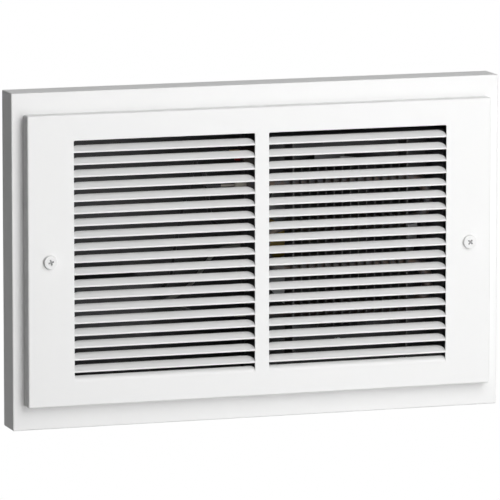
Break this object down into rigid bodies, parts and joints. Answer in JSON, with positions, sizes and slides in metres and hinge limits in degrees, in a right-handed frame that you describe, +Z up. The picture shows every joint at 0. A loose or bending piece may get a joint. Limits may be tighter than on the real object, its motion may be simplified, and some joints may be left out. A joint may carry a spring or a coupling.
{
  "type": "recessed wall heater",
  "caption": "Fan-forced electric heater that sits in a wall behind a louvred white steel panel and a deep picture-frame trim, with a finned element and a fan behind one half.",
  "frame": {"origin": "middle of the wall opening, in the plane of the finished wall, where the trim frame's lip rests", "axes": "+X to the right as seen from the room, +Y into the wall, +Z up"},
  "size_m": [0.354, 0.1113, 0.234],
  "materials": {
    "painted_trim": "satin white powder coat",
    "painted_panel": "satin white powder coat",
    "painted_screw": "satin white paint",
    "galvanised": "spangled zinc",
    "chassis_steel": "zinc-coated sheet",
    "black_enamel": "matt black baked enamel",
    "zinc_screw": "bright zinc plate",
    "spring_steel": "black phosphate",
    "black_nylon": "matt moulded nylon",
    "ground_green": "green dyed zinc",
    "element_sheath": "dark oxidised sheath",
    "element_fin": "thin steel sheet, dark from heat",
    "ceramic": "unglazed steatite",
    "terminal_pin": "nickel-plated pin",
    "core_lamination": "blued laminations",
    "copper": "bare copper",
    "bobbin": "natural nylon",
    "coil_tape": "yellow polyester tape",
    "motor_bracket": "die-cast",
    "bearing_bronze": "sintered bronze",
    "rotor": "turned steel and aluminium",
    "shaft_steel": "ground steel",
    "fan_aluminium": "mill finish",
    "phenolic": "moulded phenolic",
    "button_red": "glossy red",
    "terminal_black": "moulded thermoset",
    "brass_screw": "brass",
    "lead_black": "silicone insulation",
    "lead_white": "silicone insulation"
  },
  "bodies": {
    "heater": {"trim_frame": "painted_trim", "grille_panel": "painted_panel", "grille_screws": "painted_screw", "grille_nuts": "spring_steel", "can_wrapper": "galvanised", "can_top": "galvanised", "can_bottom": "galvanised", "knockout_plugs": "galvanised", "cable_bushing": "black_nylon", "ground_screw": "ground_green", "upper_bracket": "black_enamel", "lower_bracket": "black_enamel", "chassis_plate": "black_enamel", "chassis_screws": "zinc_screw", "element_housing": "black_enamel", "element_tube": "element_sheath", "element_fins": "element_fin", "element_supports": "element_fin", "element_insulators": "ceramic", "element_pins": "terminal_pin", "motor_strap": "chassis_steel", "strap_screws": "zinc_screw", "stator_core": "core_lamination", "shading_rings": "copper", "motor_bobbin": "bobbin", "motor_winding": "coil_tape", "front_bearing_bracket": "motor_bracket", "rear_bearing_bracket": "motor_bracket", "front_bearing": "bearing_bronze", "rear_bearing": "bearing_bronze", "motor_screws": "zinc_screw", "motor_nuts": "zinc_screw", "cutout_cap": "fan_aluminium", "cutout_body": "phenolic", "cutout_flange": "chassis_steel", "cutout_screws": "zinc_screw", "cutout_terminals": "brass_screw", "wiring_cover": "black_enamel", "cover_screw": "zinc_screw", "cover_bushing": "black_nylon", "terminal_block": "terminal_black", "terminal_screws": "brass_screw", "block_rivets": "motor_bracket", "supply_lead": "lead_black", "load_lead": "lead_black", "neutral_lead": "lead_white", "motor_neutral_lead": "lead_white", "motor_load_lead": "lead_black"},
    "fan": {"fan_wheel": "fan_aluminium", "fan_hub": "motor_bracket", "fan_set_screw": "spring_steel", "motor_shaft": "shaft_steel", "motor_rotor": "rotor"},
    "reset": {"reset_button": "button_red"}
  },
  "joints": [
    {"name": "fan_spin", "type": "hinge", "parent": "heater", "child": "fan", "pos_m": [0.0705, 0.0085, 0], "axis": [0, 1, 0], "continuous": true},
    {"name": "reset_press", "type": "slide", "parent": "heater", "child": "reset", "axis": [1, 0, 0], "range_m": [0, 0.002], "stiffness_N_per_m": 400, "springref_m": -0.001}
  ]
}
